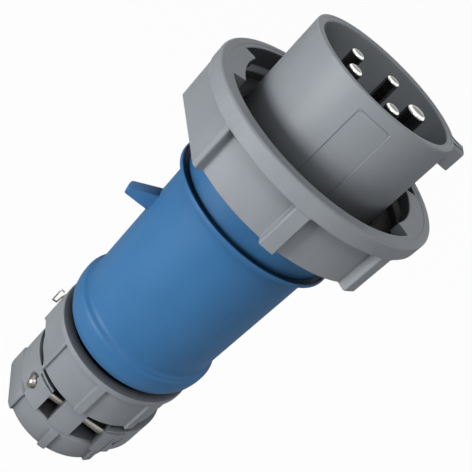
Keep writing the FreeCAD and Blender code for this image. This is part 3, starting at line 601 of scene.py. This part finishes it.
tab_outline = [(tab_root, tab_rear, 0.0), (tab_reach, tab_rear, 0.7),
               (tab_reach, tab_rear + tab_tip_length, 0.9), (tab_root, tab_rear + tab_base_length, 0.0)]
tab = laid(slab(tab_outline, -tab_half, tab_half, edge=0.5),
           turn_about("Z", tab_turn) @ turn_about("X", 90))
stop_outline = [(bearing_radius - stop_root, bearing_rear + 0.2, 0.1),
                (bearing_radius + stop_height, bearing_rear + 0.2, 0.3),
                (bearing_radius + stop_height, bearing_front, 0.3),
                (bearing_radius - stop_root, bearing_front, 0.1)]
stop = wedge(plain(stop_outline), stop_start, stop_end)
spigot_thread = thread(thread_core, thread_core + thread_rise, grip_rear + 1.0, tail_rear - 0.7, thread_pitch,
                       thread_steps)
piece("grip_shell", [grip, tab, stop, spigot_thread], blue, "plug", "grip_body")


# Gland nut, a collar and an end ring joined by two posts

nut_radius = reach("gland_nut")
nut_panel, nut_flat = 27.8, 26.0
nut_bore, nut_chamfer = 22.25, 2.25
nut_step_rear, nut_step_front = 28.7, nut_front - 2.6
nut_web_rear, nut_web_front = 27.0, 29.7
end_length, end_radius, end_panel, end_flat = 12.0, 27.0, 25.7, 25.3
end_bore, end_countersink = 13.5, 1.5
end_bevel_length, end_bevel_depth = 2.3, 2.4
post_half, post_inner, post_radius, post_shoulder = 5.0, 16.1, 25.6, 25.11
post_sink = 0.4


def collar_section(angle):
    wall = wall_radius(angle, nut_radius, nut_panel, nut_flat)
    web = [(post_inner, nut_web_rear, 0.2), (post_radius, nut_web_rear, 0.3),
           (post_radius, nut_step_rear - 0.05, 0.2)]
    outside = [(wall, nut_step_rear, 0.4), (wall, nut_step_front, 0.5),
               (nut_radius, nut_step_front + 0.25, 0.3), (nut_radius, nut_front, 0.5)]
    inside = [(nut_bore + nut_chamfer, nut_front, 0.4), (nut_bore, nut_front - nut_chamfer, 0.3),
              (nut_bore, nut_web_front, 0.2), (post_inner, nut_web_front, 0.2)]
    return web + outside + inside


def end_section(angle):
    wall = wall_radius(angle, end_radius, end_panel, end_flat)
    bevel = end_length - end_bevel_length + (end_radius - wall) / end_bevel_depth * end_bevel_length
    return [(end_bore + end_countersink, nut_rear, 0.4), (wall, nut_rear, 0.8), (wall, bevel, 0.5),
            (end_radius - end_bevel_depth, end_length, 0.3), (end_bore, end_length, 0.4),
            (end_bore, end_countersink, 0.4)]


post_rim = [(*polar(post_radius, angle, 0.0)[:2], 0.0) for angle in range(84, 97, 3)]
post_outline = [(-post_half, post_inner, 0.4), (post_half, post_inner, 0.4), (post_half, post_shoulder, 0.4),
                *post_rim, (-post_half, post_shoulder, 0.4)]
post = slab(post_outline, end_length - post_sink, nut_web_rear + post_sink, edge=0.1)
nut_angles = columns(PANELS + FLATS)
piece("gland_nut_shell", [turned(collar_section, nut_angles), turned(end_section, nut_angles),
                          post, laid(post, turn_about("Z", 180))],
      grey, "nut", "gland_nut")


# Pins, each on its place of the pin circle

PIN_CIRCLE = 13.43
PIN_SIDES = 48
EARTH_PIN_RADIUS = 3.5
PIN_RADIUS = 2.5
barrel_rear, barrel_front, barrel_wall = 107.0, 144.0, 1.4
pin_collar_front, pin_collar_wall, shaft_rear = 145.2, 0.5, 145.6


def pin_section(radius, tip):
    """Barrel, collar and shaft, with a slightly domed end whose edge is rounded."""
    flat_share, dome_share, dome_rise = 0.25, 0.5, 0.1
    points = [(0.0, barrel_rear), (radius + barrel_wall, barrel_rear), (radius + barrel_wall, barrel_front),
              (radius + pin_collar_wall, barrel_front), (radius + pin_collar_wall, pin_collar_front),
              (radius, shaft_rear)]
    for degrees in range(0, 90, 9):
        turn = math.radians(degrees)
        points.append((radius * (flat_share + (1 - flat_share) * math.cos(turn)),
                       tip - dome_rise - radius * dome_share * (1 - math.sin(turn))))
    points += [(radius * 0.2, tip - dome_rise / 2), (0.0, tip)]
    return [(r, z, 0.0) for r, z in points]


for index, name in enumerate(PINS):
    radius = EARTH_PIN_RADIUS if name == "earth_pin" else PIN_RADIUS
    section = plain(pin_section(radius, levels(name)[1]))
    skin = turned(section, [360.0 / PIN_SIDES * side for side in range(PIN_SIDES)])
    place = Matrix.Translation(polar(PIN_CIRCLE, 360.0 / len(PINS) * index, 0.0))
    piece(name + "_turned", [laid(skin, place)], nickel, "plug", name)


# Face seal, a black ring with a soft lip that closes the bottom of the ring's mouth

seal_rear, seal_front = flange_front + 0.1, levels("face_seal")[1]
seal_bore, seal_radius = 28.7, reach("face_seal")
seal_lip_radius, seal_lip_rear, seal_lip_edge = 37.1, seal_rear + 0.7, 0.8
seal_groove_radius, seal_groove_depth = seal_bore + 1.7, 0.7

seal_outline = [(seal_bore, seal_rear, 0.1), (seal_radius, seal_rear, 0.2),
                (seal_lip_radius, seal_lip_rear, 0.3), (seal_lip_radius, seal_lip_rear + seal_lip_edge, 0.3),
                (seal_radius, seal_front, 0.6), (seal_groove_radius, seal_front, 0.3),
                (seal_bore + 0.8, seal_front - seal_groove_depth, 0.3), (seal_bore, seal_front, 0.2)]
piece("lipped_face_seal", [turned(plain(seal_outline), ALL_ROUND)], rubber, "plug",
      "face_seal")


# Spring wire clip round the far side of the nut, with a loop at one end and a bent tip at the other

def wire_clip():
    wire_radius, lie, stand = 0.38, 29.85, 31.5
    low, high, tip_length = 36.8, 43.4, 3.0
    loop_turn, tip_turn = 174, 14
    path = [(lie, loop_turn, high), (stand, loop_turn, high), (stand, loop_turn, low),
            (lie, loop_turn - 1, low)]
    path += [(lie, angle, low) for angle in range(loop_turn - 8, tip_turn + 4, -8)]
    path += [(lie, tip_turn, low), (lie, tip_turn, low - tip_length)]
    curve = bpy.data.curves.new("spring_wire_clip", "CURVE")
    curve.dimensions = "3D"
    curve.bevel_depth = wire_radius * MILLIMETRE
    curve.bevel_resolution = 3
    curve.use_fill_caps = True
    wire = curve.splines.new("POLY")
    wire.points.add(len(path) - 1)
    for point, place in zip(wire.points, path):
        point.co = (*(Vector(polar(*place)) * MILLIMETRE), 1.0)
    stand_in("spring_wire_clip", curve, steel, "nut", "wire_clip")


wire_clip()


# Camera at the photograph's viewing angle

PICTURE_WIDTH = 472.0
FOCAL_PIXELS = 790.2
SENSOR_WIDTH = 36.0
UP = Vector((0, 0, 1))


def set_camera():
    """Places the camera and returns its right, its top and the way it looks."""
    turn, distance, height = math.radians(-102.5), 0.24057, 0.24297
    aim_aside, aim_height, roll = 0.001137, 0.11208, 0.792
    away = Vector((math.cos(turn), math.sin(turn), 0))
    aside = Vector((-away.y, away.x, 0))
    place = away * distance + UP * height
    ahead = (aside * aim_aside + UP * aim_height - place).normalized()
    level_top = (UP - ahead * ahead.z).normalized()
    level_right = ahead.cross(level_top)
    right = level_right * math.cos(roll) + level_top * math.sin(roll)
    top = level_top * math.cos(roll) - level_right * math.sin(roll)
    camera = bpy.data.objects.new("camera", bpy.data.cameras.new("camera"))
    camera.data.lens = SENSOR_WIDTH * FOCAL_PIXELS / PICTURE_WIDTH
    camera.data.clip_start = 0.01
    camera.matrix_world = Matrix.Translation(place) @ Matrix((right, top, -ahead)).transposed().to_4x4()
    bpy.context.scene.collection.objects.link(camera)
    bpy.context.scene.camera = camera
    return right, top, ahead


right, top, ahead = set_camera()


# Floor and light

PLUG_MIDDLE = Vector((0, 0, 0.105))


def lamp(name, side, rise, back, size, power):
    """A soft panel, placed from the plug's middle along the photograph's right, up and towards its viewer."""
    place = PLUG_MIDDLE + right * side + top * rise - ahead * back
    data = bpy.data.lights.new(name, "AREA")
    data.shape = "RECTANGLE"
    data.size, data.size_y = size
    data.energy = power
    item = bpy.data.objects.new(name, data)
    item.location = place
    item.rotation_euler = (PLUG_MIDDLE - place).to_track_quat("-Z", "Y").to_euler()
    bpy.context.scene.collection.objects.link(item)


def pale_floor(half=3.0, drop=0.0005, seen_white=0.975):
    finish = Finish("pale floor")
    rays = finish.make("ShaderNodeLightPath")
    lit = finish.make("ShaderNodeBsdfDiffuse", Color=(0.8, 0.8, 0.8, 1))()
    white = finish.make("ShaderNodeEmission", Color=(1, 1, 1, 1), Strength=1.0)()
    seen = rays("Is Camera Ray") * seen_white
    finish.show(finish.make("ShaderNodeMixShader", Fac=seen, _1=lit, _2=white)())
    corners = [(-half, -half, 0), (half, -half, 0), (half, half, 0), (-half, half, 0)]
    mesh = bpy.data.meshes.new("floor")
    mesh.from_pydata(corners, [], [(0, 1, 2, 3)])
    mesh.materials.append(finish.material)
    floor = bpy.data.objects.new("floor", mesh)
    floor.location.z = -drop
    bpy.context.scene.collection.objects.link(floor)


def pale_world(ambient):
    """White to the camera and in metal, and dim as a light."""
    world = bpy.data.worlds.new("studio")
    world.use_nodes = True
    shop = Shop(world.node_tree)
    rays = shop.make("ShaderNodeLightPath")
    seen = rays("Is Camera Ray")
    for kind in ("Is Glossy Ray", "Is Transmission Ray"):
        seen = shop.maths("MAXIMUM", seen, rays(kind))
    strength = shop.make("ShaderNodeMapRange", Value=seen, To_Min=ambient, To_Max=1.0)()
    glow = shop.make("ShaderNodeBackground", Color=(1, 1, 1, 1), Strength=strength)()
    shop.make("ShaderNodeOutputWorld", Surface=glow)
    bpy.context.scene.world = world


pale_floor()
pale_world(ambient=0.09)
lamp("key panel", side=-0.5, rise=0.1, back=0.38, size=(0.25, 0.25), power=5.0)
lamp("front panel", side=0.22, rise=0.2, back=0.6, size=(0.3, 0.3), power=1.7)
lamp("rim panel", side=0.5, rise=-0.5, back=0.2, size=(0.5, 0.2), power=0.9)

bpy.context.scene.view_settings.view_transform = "Standard"
